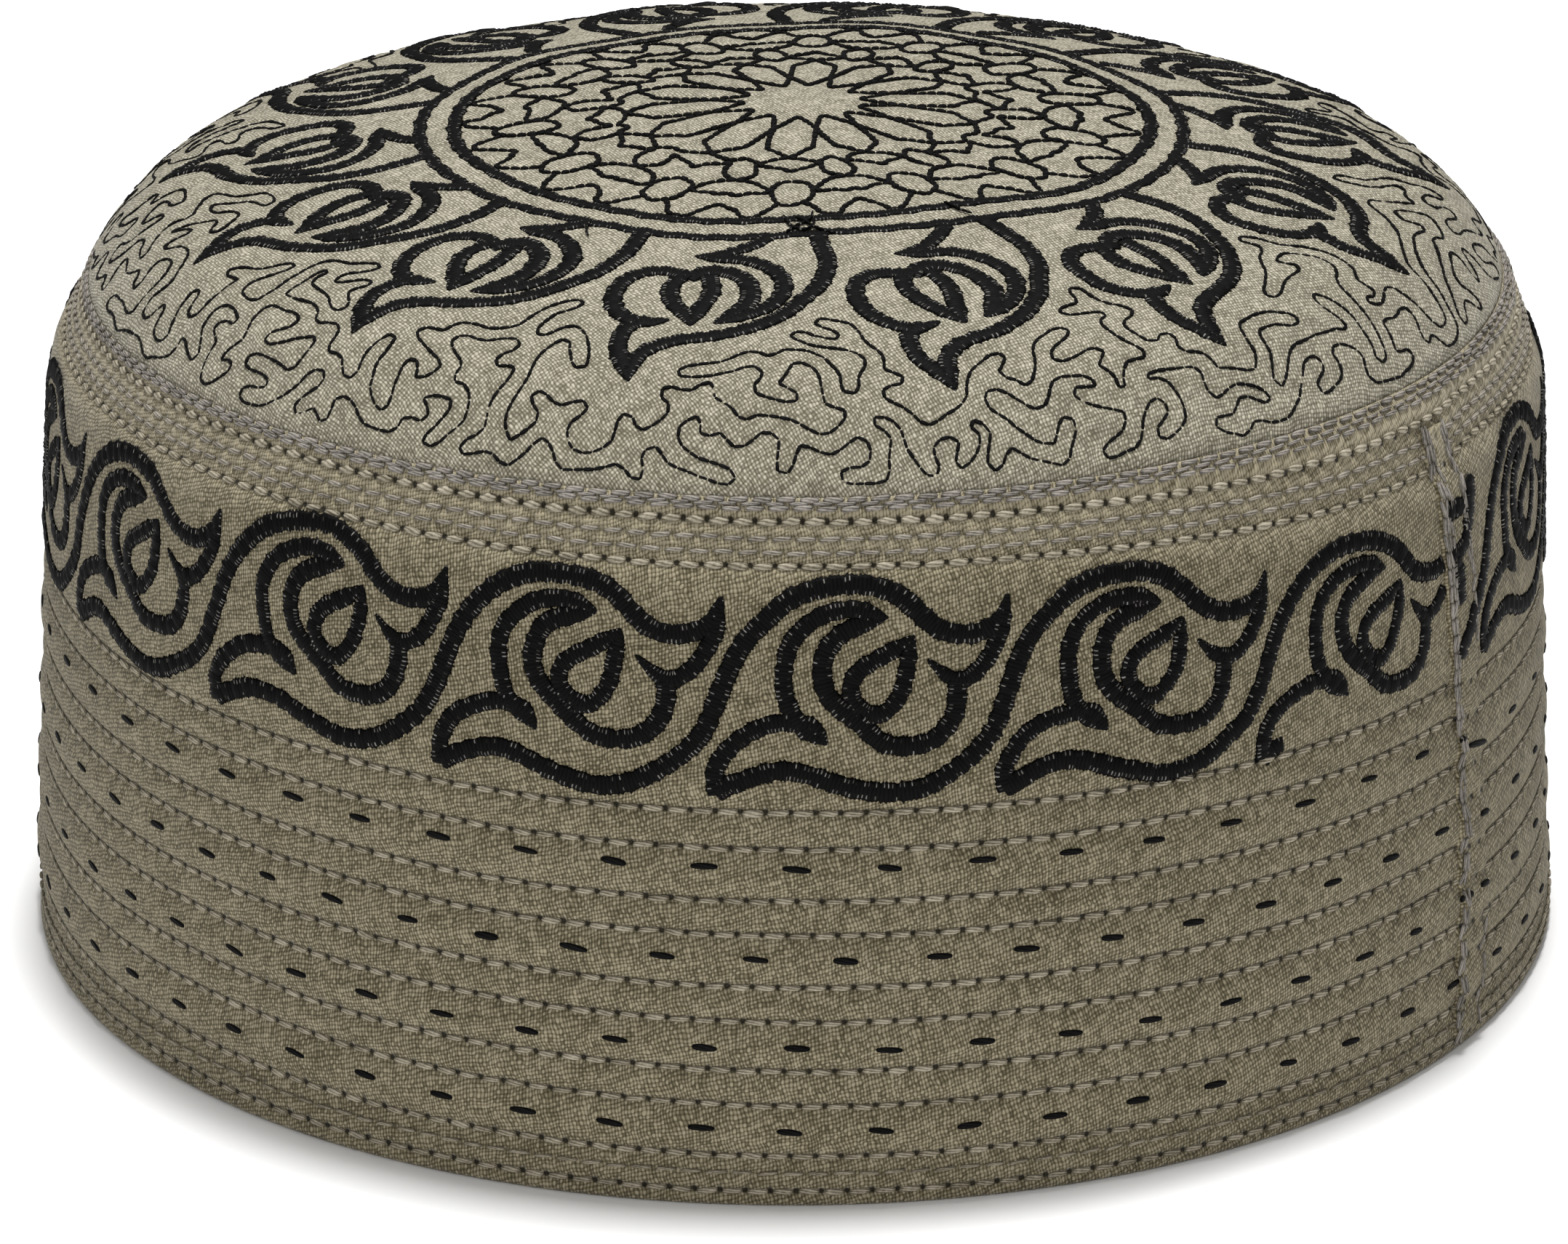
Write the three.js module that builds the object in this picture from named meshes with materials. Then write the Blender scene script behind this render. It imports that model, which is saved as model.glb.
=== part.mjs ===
// Embroidered skull cap. A quilted strip of cloth is closed into a ring for the side,
// a shallow round crown is seamed to its upper edge, and a narrow lap covers the joint.
// Millimetres, +Z up. The origin is the middle of the lower edge, which the cap rests on.
// The front faces -Y, and the lap is towards the right front.

import * as THREE from 'three';

// Side band: two cloths quilted over cords
const rimRadius = 93;
const bandHeight = 80.5;
const bandWall = 2.6;
const rimRounding = 0.6;
const quiltDepth = 0.35;

// Crown: one round of the same cloth over a stiff lining
const seamRadius = 84.3;
const crownRise = 19.1;
const crownWall = 2.2;

// Lap: the end of the strip, turned under and sewn down over the joint. It starts at
// lapFoot and ends lapDrop below the crown seam. Bearing and lean are in degrees.
const lapWidth = 5.6;
const lapWall = 1.0;
const lapFoot = 0.5;
const lapDrop = 4;
const lapBearing = 57.5;
const lapLean = 2.4;

// Clearance between neighbouring pieces, and the number of sides of the round pieces
const seamGap = 0.3;
const roundSides = 72;

// Side seen from the front. height is a share of bandHeight, and flare is a share of
// the way from seamRadius out to rimRadius. The last rows turn in to the crown seam.
const sideShape = [
  { height: 0.0, flare: 1.0 },
  { height: 0.09, flare: 0.9 },
  { height: 0.22, flare: 0.85 },
  { height: 0.4, flare: 0.74 },
  { height: 0.6, flare: 0.65 },
  { height: 0.74, flare: 0.6 },
  { height: 0.85, flare: 0.52 },
  { height: 0.92, flare: 0.42 },
  { height: 0.96, flare: 0.26 },
  { height: 1.0, flare: 0.0 },
];

// Rows of quilting stitches that pull the side in, as shares of bandHeight
const lowerRows = [0.024, 0.05, 0.075, 0.15, 0.199, 0.271, 0.322, 0.395, 0.445, 0.519, 0.571];
const upperRows = [0.914, 0.945, 0.976];

// Crown in section. reach is a share of seamRadius, and rise is a share of crownRise.
const crownShape = [
  { reach: 1.0, rise: 0.0 },
  { reach: 0.975, rise: 0.15 },
  { reach: 0.95, rise: 0.28 },
  { reach: 0.92, rise: 0.4 },
  { reach: 0.88, rise: 0.51 },
  { reach: 0.82, rise: 0.6 },
  { reach: 0.72, rise: 0.695 },
  { reach: 0.6, rise: 0.79 },
  { reach: 0.48, rise: 0.87 },
  { reach: 0.36, rise: 0.915 },
  { reach: 0.22, rise: 0.955 },
  { reach: 0.1, rise: 0.985 },
  { reach: 0.0, rise: 1.0 },
];

// Radius of the smooth side at a height, read between the rows of sideShape
function sideRadius(height) {
  const share = height / bandHeight;
  const upper = Math.max(1, sideShape.findIndex((row) => row.height >= share));
  const below = sideShape[upper - 1];
  const above = sideShape[upper];
  const along = (share - below.height) / (above.height - below.height);
  const flare = THREE.MathUtils.lerp(below.flare, above.flare, along);
  return seamRadius + (rimRadius - seamRadius) * flare;
}

// Unit normal of a line in section, on the right of its direction
function rightOf(from, to) {
  const step = to.clone().sub(from).normalize();
  return new THREE.Vector2(step.y, -step.x);
}

// The line moved sideways by a distance. The ends take the given normals.
function offsetLine(line, distance, firstNormal, lastNormal) {
  const last = line.length - 1;
  return line.map((point, i) => {
    let normal = i === 0 ? firstNormal : lastNormal;
    if (i > 0 && i < last) {
      normal = rightOf(line[i - 1], point).add(rightOf(point, line[i + 1])).normalize();
    }
    return point.clone().addScaledVector(normal, distance);
  });
}

// Smooth side from the lower edge to the crown seam, and the crown from there to its middle
const smoothSide = sideShape.map((row) => {
  const height = row.height * bandHeight;
  return new THREE.Vector2(sideRadius(height), height);
});
const smoothCrown = crownShape.map((row) => {
  return new THREE.Vector2(row.reach * seamRadius, bandHeight + row.rise * crownRise);
});

// Where side and crown meet, both edges are cut square to the turn of the shoulder
const seamPoint = smoothCrown[0];
const seamOut = rightOf(smoothSide[smoothSide.length - 2], seamPoint)
  .add(rightOf(seamPoint, smoothCrown[1]))
  .normalize();
const seamUp = new THREE.Vector2(-seamOut.y, seamOut.x);
const sideways = new THREE.Vector2(1, 0);
const upwards = new THREE.Vector2(0, 1);

// A belt of quilting: a groove at each stitch row and a rib between two rows
function quiltedBelt(rows) {
  return rows.flatMap((share, i) => {
    const height = share * bandHeight;
    const groove = new THREE.Vector2(sideRadius(height) - quiltDepth, height);
    if (i === 0) {
      return [groove];
    }
    const ribHeight = 0.5 * (share + rows[i - 1]) * bandHeight;
    return [new THREE.Vector2(sideRadius(ribHeight), ribHeight), groove];
  });
}

// Outside of the side. The stretch between the two belts is plain, for the embroidery.
function quiltedSide() {
  const lowerEnd = lowerRows.at(-1) * bandHeight;
  const upperStart = upperRows[0] * bandHeight;
  const plain = smoothSide.filter((point) => point.y > lowerEnd && point.y < upperStart);
  return [...quiltedBelt(lowerRows), ...plain, ...quiltedBelt(upperRows), seamPoint];
}

// Turns a closed section, radius across and height up, into a ring round the Z axis
function roundPiece(section) {
  const geometry = new THREE.LatheGeometry(section, roundSides);
  geometry.rotateX(Math.PI / 2);
  return geometry;
}

// Quarter round in two steps at the foot of a wall. side is 1 outside and -1 inside.
function cornerRounding(radius, side) {
  const halfway = (1 - Math.SQRT1_2) * rimRounding;
  return [
    new THREE.Vector2(radius - side * rimRounding, 0),
    new THREE.Vector2(radius - side * halfway, halfway),
    new THREE.Vector2(radius, rimRounding),
  ];
}

function sideBand() {
  const inside = offsetLine(smoothSide, -bandWall, sideways, seamOut).slice(1).reverse();
  const outerCorner = cornerRounding(rimRadius, 1);
  const innerCorner = cornerRounding(rimRadius - bandWall, -1).reverse();
  const section = [...outerCorner, ...quiltedSide(), ...inside, ...innerCorner];
  return roundPiece([...section, section[0]]);
}

function crown() {
  const outside = smoothCrown.slice(1);
  const edge = seamPoint.clone().addScaledVector(seamUp, seamGap);
  const line = [edge, ...outside];
  const inside = offsetLine(line, -crownWall, seamOut, upwards).reverse();
  return roundPiece([...inside, ...line]);
}

// The lap is flat across its width and follows the ribs of the side up its length
function lapStrip() {
  const lapTop = bandHeight - lapDrop;
  const covered = quiltedSide().filter((point) => point.y > lapFoot && point.y < lapTop);
  const foot = new THREE.Vector2(rimRadius, lapFoot);
  const top = new THREE.Vector2(sideRadius(lapTop), lapTop);
  const line = [foot, ...covered, top];
  const back = line.map((point) => new THREE.Vector2(point.x + seamGap, point.y));
  const face = line.map((point) => new THREE.Vector2(point.x + seamGap + lapWall, point.y));
  const outline = new THREE.Shape([...face, ...back.reverse()]);
  const geometry = new THREE.ExtrudeGeometry(outline, { depth: lapWidth, bevelEnabled: false });
  geometry.translate(0, 0, -lapWidth / 2);
  geometry.rotateX(Math.PI / 2);

  const middle = 0.5 * (lapFoot + lapTop);
  geometry.translate(0, 0, -middle);
  geometry.rotateX(THREE.MathUtils.degToRad(lapLean));
  geometry.translate(0, 0, middle);
  geometry.rotateZ(THREE.MathUtils.degToRad(lapBearing - 90));
  return geometry;
}

function clothPiece(name, geometry, colour) {
  const material = new THREE.MeshStandardMaterial({ color: colour, roughness: 0.95, metalness: 0 });
  const mesh = new THREE.Mesh(geometry, material);
  mesh.name = name;
  return mesh;
}

const skullCap = new THREE.Group();
skullCap.add(clothPiece('side_band', sideBand(), 0x8c8370));
skullCap.add(clothPiece('crown', crown(), 0xa39b88));
skullCap.add(clothPiece('lap_strip', lapStrip(), 0x91897a));

export default skullCap;
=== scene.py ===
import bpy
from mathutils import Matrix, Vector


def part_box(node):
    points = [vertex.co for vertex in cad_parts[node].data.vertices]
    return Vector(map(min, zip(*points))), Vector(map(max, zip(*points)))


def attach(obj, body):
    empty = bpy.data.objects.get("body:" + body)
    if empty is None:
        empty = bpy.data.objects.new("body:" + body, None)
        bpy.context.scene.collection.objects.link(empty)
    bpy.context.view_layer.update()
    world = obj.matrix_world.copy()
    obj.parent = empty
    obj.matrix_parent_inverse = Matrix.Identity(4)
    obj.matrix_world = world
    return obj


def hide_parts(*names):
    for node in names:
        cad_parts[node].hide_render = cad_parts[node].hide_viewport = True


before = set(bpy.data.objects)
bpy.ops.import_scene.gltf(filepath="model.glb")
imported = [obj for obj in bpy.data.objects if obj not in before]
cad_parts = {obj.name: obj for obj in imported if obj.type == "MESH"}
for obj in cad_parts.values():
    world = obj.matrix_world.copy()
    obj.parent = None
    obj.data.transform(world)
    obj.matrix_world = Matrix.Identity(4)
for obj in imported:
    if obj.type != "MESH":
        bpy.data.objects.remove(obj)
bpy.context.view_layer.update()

import math

import bpy
import numpy as np
from mathutils import Vector

mm = 0.001

# Camera. The photograph looks down on the cap from the front with a long lens. Its place
# and focal length were fitted to the cap's outline, its rows of stitches and its rings.
camera_distance = 757.5 * mm
camera_height = 324.8 * mm
camera_dip = math.radians(21.02)
camera_turn = 0.00074
camera_lean = 0.0026
frame_width = 2156
focal_pixels = 9193.4
camera_data = bpy.data.cameras.new("photo_camera")
camera_data.sensor_width = 36
camera_data.lens = camera_data.sensor_width * focal_pixels / frame_width
camera_data.clip_start = 0.05
camera = bpy.data.objects.new("photo_camera", camera_data)
camera.location = (0, -camera_distance, camera_height)
camera.rotation_euler = (math.pi / 2 - camera_dip, camera_lean, camera_turn)
bpy.context.scene.collection.objects.link(camera)
bpy.context.scene.camera = camera

# Table and light. A plain white sweep under one soft lamp overhead, a little behind the
# cap so that its short shadow falls forward, with a low fill from the front.
table_half = 4.0
table_mesh = bpy.data.meshes.new("table")
table_corners = [(-1, -1), (1, -1), (1, 1), (-1, 1)]
table_mesh.from_pydata([(table_half * x, table_half * y, 0) for x, y in table_corners], [], [(0, 1, 2, 3)])
table_paint = bpy.data.materials.new("white_table")
table_paint.use_nodes = True
table_paint.node_tree.nodes["Principled BSDF"].inputs["Base Color"].default_value = (0.97, 0.97, 0.97, 1)
table_paint.node_tree.nodes["Principled BSDF"].inputs["Roughness"].default_value = 0.9
table_mesh.materials.append(table_paint)
table = bpy.data.objects.new("table", table_mesh)
bpy.context.scene.collection.objects.link(table)


def soft_lamp(name, place, width, watts):
    """A square lamp that faces the middle of the cap."""
    data = bpy.data.lights.new(name, "AREA")
    data.shape = "SQUARE"
    data.size = width
    data.energy = watts
    lamp = bpy.data.objects.new(name, data)
    lamp.location = place
    lamp.rotation_euler = (Vector(place) - Vector((0, 0, 0.05))).to_track_quat("Z", "Y").to_euler()
    bpy.context.scene.collection.objects.link(lamp)


soft_lamp("overhead_lamp", (0.05, 0.19, 2.0), 0.34, 45)
soft_lamp("front_fill", (-0.3, -1.45, 0.5), 0.7, 5.9)
world = bpy.data.worlds.new("pale_room")
world.use_nodes = True
world.node_tree.nodes["Background"].inputs["Color"].default_value = (1, 1, 1, 1)
world.node_tree.nodes["Background"].inputs["Strength"].default_value = 0.33
bpy.context.scene.world = world
bpy.context.scene.view_settings.view_transform = "Standard"

# Shape of the cap. One smooth line in section runs up the side and over the crown to its
# middle, and everything sewn on the cap is laid on that line by bearing and by the
# distance along it. Its shares are those of the real pattern, and its sizes the frame's.
_, side_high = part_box("side_band")
_, crown_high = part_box("crown")
rim_radius = side_high.x
band_height = side_high.z
seam_radius = crown_high.x
crown_rise = crown_high.z - band_height
side_shape = [
    # share of band_height, share of the way from seam_radius out to rim_radius
    (0.0, 1.0), (0.09, 0.9), (0.22, 0.85), (0.4, 0.74), (0.6, 0.65),
    (0.74, 0.6), (0.85, 0.52), (0.92, 0.42), (0.96, 0.26), (1.0, 0.0),
]
crown_shape = [
    # share of seam_radius, share of crown_rise
    (0.975, 0.15), (0.95, 0.28), (0.92, 0.4), (0.88, 0.51), (0.82, 0.6), (0.72, 0.695),
    (0.6, 0.79), (0.48, 0.87), (0.36, 0.915), (0.22, 0.955), (0.1, 0.985), (0.0, 1.0),
]


def section_line(step=0.2 * mm, softening=5 * mm):
    """Radius and height at even steps along the section, with its corners softened."""
    flared = rim_radius - seam_radius
    side = [(seam_radius + flared * flare, share * band_height) for share, flare in side_shape]
    crown = [(share * seam_radius, band_height + rise * crown_rise) for share, rise in crown_shape]
    corners = np.array(side + crown)
    before = 2 * corners[0] - corners[1]
    after = corners[-1] * (-1, 1) + (-0.2 * seam_radius, -0.02 * crown_rise)
    corners = np.vstack([before, corners, after])
    reach = np.concatenate([[0], np.cumsum(np.hypot(*np.diff(corners, axis=0).T))])
    even = np.arange(0, reach[-1], step)
    line = np.stack([np.interp(even, reach, corners[:, i]) for i in (0, 1)], 1)
    window = np.hanning(int(softening / step) | 1)
    window /= window.sum()
    line = np.stack([np.convolve(line[:, i], window, "same") for i in (0, 1)], 1)
    first = int(np.argmax(line[:, 1] >= 0))
    last = int(np.argmax(line[:, 0] <= 0))
    return line[first:last]


section = section_line()
section[0, 1] = 0
section[-1, 0] = 0
section_reach = np.concatenate([[0], np.cumsum(np.hypot(*np.diff(section, axis=0).T))])
section_slope = np.gradient(section, section_reach, axis=0)
seam_reach = float(np.interp(band_height, section[:, 1], section_reach))
whole_reach = float(section_reach[-1])
crown_reach = whole_reach - seam_reach


def reach_of_height(height):
    """Distance along the section at a height on the side."""
    on_side = section_reach <= seam_reach + 2 * mm
    return np.interp(height, section[on_side, 1], section_reach[on_side])


def reach_of_radius(radius):
    """Distance along the section at a radius on the crown."""
    on_crown = section_reach >= seam_reach - 6 * mm
    return np.interp(-np.asarray(radius), -section[on_crown, 0], section_reach[on_crown])


def smooth_step(value, low, high):
    """0 up to low, 1 from high on, and smooth between."""
    share = np.clip((np.asarray(value, float) - low) / (high - low), 0, 1)
    return share * share * (3 - 2 * share)


# Rows of machine stitches round the side. They climb a little to the left of the front
# and dip to the right, where the strip was pulled down before it was closed.
stitch_rows = [
    # height and thread width in millimetres, and thread
    (1.9, 0.74, "pale"), (4.1, 0.4, "pale"), (6.0, 0.8, "pale"), (12.0, 0.76, "pale"),
    (16.1, 0.76, "pale"), (21.8, 0.76, "pale"), (25.8, 0.78, "pale"), (31.8, 0.76, "pale"),
    (35.7, 0.76, "pale"), (41.7, 0.76, "pale"), (45.9, 0.8, "pale"), (73.6, 0.85, "pale"),
    (75.2, 0.55, "dull"), (76.7, 0.6, "dull"), (78.4, 1.0, "cream"),
]
stitches_round = 206
row_shift = 0.382


def row_phase(number):
    """How far a row's first stitch is round from the back, in stitches."""
    return math.fmod(number * row_shift, 1.0)


def dip_at(bearing, height):
    """How far a level row is moved up or down at a bearing."""
    turn = np.mod(bearing + math.pi, 2 * math.pi) - math.pi
    share = height / band_height
    slant = np.interp(share, [0, 0.12, 0.6, 0.97, 1], [0.3, 0.8, 0.9, 0.75, 0])
    pull = smooth_step(turn, 0.25, 0.85) * (1 - smooth_step(turn, 0.97, 1.08))
    low = np.interp(share, [0.55, 0.9, 0.97, 1], [0, 1.7, 1.0, 0])
    mismatch = smooth_step(turn, 0.96, 1.05) * (1 - smooth_step(turn, 1.6, 2.6))
    behind = np.interp(share, [0.1, 0.22, 0.55, 0.7, 0.9, 0.97, 1], [0, 1.1, 1.2, 0.4, 0.6, 0.4, 0])
    return -(slant * np.sin(bearing) + low * pull + behind * mismatch) * mm


def relief(bearing, reach):
    """How far the cloth stands proud of the smooth section: quilting and slight waves."""
    height = np.interp(reach, section_reach, section[:, 1])
    level = height - dip_at(bearing, height)
    lift = np.zeros(np.broadcast(bearing, reach).shape)
    on_side = reach < seam_reach
    for row_height, width, _ in stitch_rows:
        away = level - row_height * mm
        pull = 0.2 * mm * np.exp(-((away / (0.5 * mm)) ** 2))
        pull = pull + 0.68 * mm * np.exp(-((away / (1.7 * mm)) ** 2))
        lift = lift - np.where(on_side, pull * min(1, width / 0.75), 0)
    puffed = smooth_step(level, 1 * mm, 3 * mm) * (1 - smooth_step(level, 45 * mm, 50 * mm))
    lift = lift + np.where(on_side, 0.3 * mm * puffed, 0)
    lift = lift - 0.5 * mm * np.exp(-(((reach - seam_reach) / (0.9 * mm)) ** 2))
    wave = np.sin(3 * bearing + 0.6) * np.sin(reach / (21 * mm) + 1.0)
    wave = wave + 0.6 * np.sin(5 * bearing + 2.1 + reach / (33 * mm))
    wave = wave + 0.5 * np.sin(11 * bearing + reach / (17 * mm)) * np.sin(reach / (9 * mm))
    fade = smooth_step(reach, 0, 12 * mm) * smooth_step(whole_reach - reach, 0, 40 * mm)
    return lift + 0.22 * mm * wave * fade


def on_cap(bearing, reach, lift=0.0, with_relief=True):
    """Points on the cap, and the unit normals of its smooth shape there."""
    bearing, reach = np.broadcast_arrays(np.asarray(bearing, float), np.asarray(reach, float))
    radius = np.interp(reach, section_reach, section[:, 0])
    height = np.interp(reach, section_reach, section[:, 1])
    out = np.interp(reach, section_reach, section_slope[:, 1])
    up = -np.interp(reach, section_reach, section_slope[:, 0])
    size = np.hypot(out, up)
    out, up = out / size, up / size
    total = lift + (relief(bearing, reach) if with_relief else 0)
    points = np.stack([
        (radius + out * total) * np.sin(bearing),
        -(radius + out * total) * np.cos(bearing),
        height + up * total,
    ], -1)
    normals = np.stack([out * np.sin(bearing), -out * np.cos(bearing), up], -1)
    return points, normals


# Side. Two layers of khaki cotton over cords, stitched through in level rows. It is
# turned under at the rim and closed into one ring.
def mesh_object(name, points, faces, material, corner_places=None):
    """A smooth-shaded mesh. corner_places gives each face corner its place on the cloth."""
    mesh = bpy.data.meshes.new(name)
    mesh.from_pydata(np.asarray(points, float).tolist(), [], [list(map(int, face)) for face in faces])
    mesh.polygons.foreach_set("use_smooth", [True] * len(mesh.polygons))
    if corner_places is not None:
        layer = mesh.uv_layers.new(name="cloth")
        layer.data.foreach_set("uv", np.asarray(corner_places, np.float32).ravel())
    mesh.materials.append(material)
    made = bpy.data.objects.new(name, mesh)
    bpy.context.scene.collection.objects.link(made)
    return made


class Wire:
    """One shader socket. Arithmetic written with wires adds Math nodes."""

    def __init__(self, finish, socket):
        self.finish = finish
        self.socket = socket

    def maths(self, operation, *others):
        return self.finish.node("ShaderNodeMath", {"operation": operation}, dict(enumerate((self, *others))))

    def __add__(self, other):
        return self.maths("ADD", other)

    __radd__ = __add__

    def __sub__(self, other):
        return self.maths("SUBTRACT", other)

    def __rsub__(self, other):
        return self.finish.node("ShaderNodeMath", {"operation": "SUBTRACT"}, {0: other, 1: self})

    def __mul__(self, other):
        return self.maths("MULTIPLY", other)

    __rmul__ = __mul__

    def __abs__(self):
        return self.maths("ABSOLUTE")

    def sine(self):
        return self.maths("SINE")

    def step(self, low, high):
        """0 at low and beyond, 1 at high and beyond, smooth between. low may be the larger."""
        return self.finish.node(
            "ShaderNodeMapRange",
            {"interpolation_type": "SMOOTHSTEP"},
            {"Value": self, "From Min": low, "From Max": high, "To Min": 0.0, "To Max": 1.0},
        )


class Finish:
    """A material being made up. Its node method adds one node and returns a wire."""

    def __init__(self, name, roughness, gloss=0.1, sheen=0.0):
        self.material = bpy.data.materials.new(name)
        self.material.use_nodes = True
        self.tree = self.material.node_tree
        self.shader = self.tree.nodes["Principled BSDF"]
        self.shader.inputs["Roughness"].default_value = roughness
        self.shader.inputs["Sheen Weight"].default_value = sheen
        self.shader.inputs["Specular IOR Level"].default_value = gloss

    def node(self, kind, settings, sockets, output=0):
        made = self.tree.nodes.new(kind)
        for name, value in settings.items():
            if name == "stops":
                ramp = made.color_ramp
                while len(ramp.elements) < len(value):
                    ramp.elements.new(1.0)
                for element, (place, colour) in zip(ramp.elements, value):
                    element.position = place
                    element.color = (*colour, 1)
            elif name == "constant":
                made.color_ramp.interpolation = "CONSTANT"
            else:
                setattr(made, name, value)
        for name, value in sockets.items():
            if isinstance(value, Wire):
                self.tree.links.new(value.socket, made.inputs[name])
            else:
                made.inputs[name].default_value = value
        return Wire(self, made.outputs[output])

    def parts(self, wire, kind="ShaderNodeSeparateXYZ"):
        """The three parts of a vector or a colour."""
        split = self.node(kind, {}, {0: wire})
        return [Wire(self, split.socket.node.outputs[i]) for i in range(3)]

    def blend(self, share, first, second):
        return self.node(
            "ShaderNodeMix", {"data_type": "RGBA"}, {"Factor": share, "A": first, "B": second}, output=2,
        )

    def vector(self, x, y, z=0.0):
        return self.node("ShaderNodeCombineXYZ", {}, {"X": x, "Y": y, "Z": z})

    def noise(self, place, scale, detail=1.0):
        """Soft noise about a half, with scale waves to a unit of place."""
        return self.node("ShaderNodeTexNoise", {}, {"Vector": place, "Scale": scale, "Detail": detail})

    def ramp(self, share, stops, constant=False):
        settings = {"stops": stops, "constant": True} if constant else {"stops": stops}
        return self.node("ShaderNodeValToRGB", settings, {"Fac": share})

    def feed(self, name, wire):
        self.tree.links.new(wire.socket, self.shader.inputs[name])

    def bump(self, height, strength, distance):
        sockets = {"Height": height, "Strength": strength, "Distance": distance}
        self.feed("Normal", self.node("ShaderNodeBump", {}, sockets))


# yarns to a millimetre, along and up the cloth, each of them half a sine wave
warp_yarns = (2.56, 0.39)
weft_yarns = (-0.62, 1.95)
ramp_full = 100.0  # millimetres of height that a full red value in the ramp of rows stands for


def cloth_finish(name, width_mm, height_mm, dark, mid, light, turn, rows=None):
    """Plain weave seen yarn by yarn, on a cloth layer that spans width_mm by height_mm.

    turn is the angle that the weave is turned by. rows adds needle holes painted dark, with
    painted shade in the dips round them, puckers, and a top strip painted paler as painted
    light. Cloth without rows is painted a little darker away from its middle as painted shade."""
    finish = Finish(name, roughness=0.95, gloss=0.08, sheen=0.12)
    place = finish.node("ShaderNodeUVMap", {"uv_map": "cloth"}, {})
    share_x, share_y, _ = finish.parts(place)
    across = share_x * width_mm
    upwards = share_y * height_mm
    flat = finish.vector(across, upwards)
    drift = finish.noise(flat, 0.3) - 0.5
    jitter = finish.noise(flat, 1.1, detail=0.0) - 0.5
    cos, sin = math.cos(turn), math.sin(turn)
    (a, b), (c, d) = [(x * cos - y * sin, x * sin + y * cos) for x, y in (warp_yarns, weft_yarns)]
    warp = across * a + upwards * b + drift * 2.4 + jitter * 0.5
    weft = across * c + upwards * d - drift * 2.0 + jitter * 0.6
    warp_top = (warp * math.pi).sine()
    weft_top = (weft * math.pi).sine()
    crossing = warp_top * weft_top
    cell = finish.vector(warp.maths("FLOOR"), weft.maths("FLOOR"))
    own = finish.node("ShaderNodeTexWhiteNoise", {"noise_dimensions": "2D"}, {"Vector": cell})
    slub_a = finish.noise(finish.vector(warp, weft * 0.22), 0.8) - 0.5
    slub_b = finish.noise(finish.vector(warp * 0.22, weft, 7.0), 0.8) - 0.5
    blotch = finish.noise(flat, 0.12, detail=2.0) - 0.5
    yarns = abs(warp_top) * 0.42 + abs(weft_top) * 0.34 + crossing * 0.13
    tone = yarns + 0.02 + (own - 0.5) * 0.24 + slub_a * 0.42 + slub_b * 0.42 + blotch * 0.1
    height = abs(crossing) * 0.9 + crossing * 0.35 + slub_a + slub_b + own * 0.2
    if rows:
        # Painted light: a strip along the top of the side is painted paler, standing in for the light it
        # catches from above.
        tone = tone + share_y.step(0.415, 0.45) * 0.22
    else:
        # Painted shade: the crown is painted a little darker away from its middle, standing in for the light
        # falling off on its sloping edge.
        off_x, off_y = share_x - 0.5, share_y - 0.5
        tone = tone - (off_x * off_x + off_y * off_y).maths("SQRT").step(0.27, 0.42) * 0.06
    colour = finish.ramp(tone, [(0.18, dark), (0.5, mid), (0.84, light)])
    if rows:
        # one ramp gives the nearest row's height, phase and thread width
        middles = [0.0] + [0.5 * (low[0] + high[0]) for low, high in zip(rows, rows[1:])]
        stops = [
            (2 * middle / height_mm, (row[0] / ramp_full, row_phase(number), row[1]))
            for number, (middle, row) in enumerate(zip(middles, rows))
        ]
        nearest = finish.ramp(share_y * 2.0, stops, constant=True)
        row_height, phase, row_width = finish.parts(nearest, "ShaderNodeSeparateColor")
        stitch = share_x * float(stitches_round) + 0.5 - phase
        along = abs(stitch.maths("FRACT") - 0.5) * (width_mm / stitches_round)
        beside = upwards - row_height * ramp_full - 0.1
        away = (along * along + beside * beside).maths("SQRT")
        pit = away.step(0.47, 0.22) * row_width.step(0.5, 0.72)
        hollow = away.step(1.15, 0.2)
        near = abs(beside).step(2.4, 0.3)
        pucker = finish.noise(finish.vector(across * 0.85, upwards * 0.3), 1.0)
        # Painted shade: the dip round each needle hole is painted darker, and the hole itself nearly black.
        colour = finish.blend(hollow * 0.22, colour, (*[0.4 * part for part in mid], 1))
        colour = finish.blend(pit * 0.93, colour, (0.01, 0.008, 0.005, 1))
        height = height - hollow * 2.2 - pit * 1.5 + pucker * near * 5.0
    finish.feed("Base Color", colour)
    finish.bump(height, 0.8, 0.09 * mm)
    return finish.material


def grid_faces(rows, columns, rows_close, columns_close):
    """Row of each face of a grid, and its corners. Points are numbered row by row.

    A direction that closes joins its last points to its first."""
    face_rows = np.arange(rows if rows_close else rows - 1)
    face_columns = np.arange(columns if columns_close else columns - 1)
    i, j = np.meshgrid(face_rows, face_columns, indexing="ij")
    ahead = (i + 1) % rows * columns
    beside = (j + 1) % columns
    faces = np.stack([i * columns + j, ahead + j, ahead + beside, i * columns + beside], -1)
    return i, faces.reshape(-1, 4)


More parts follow.
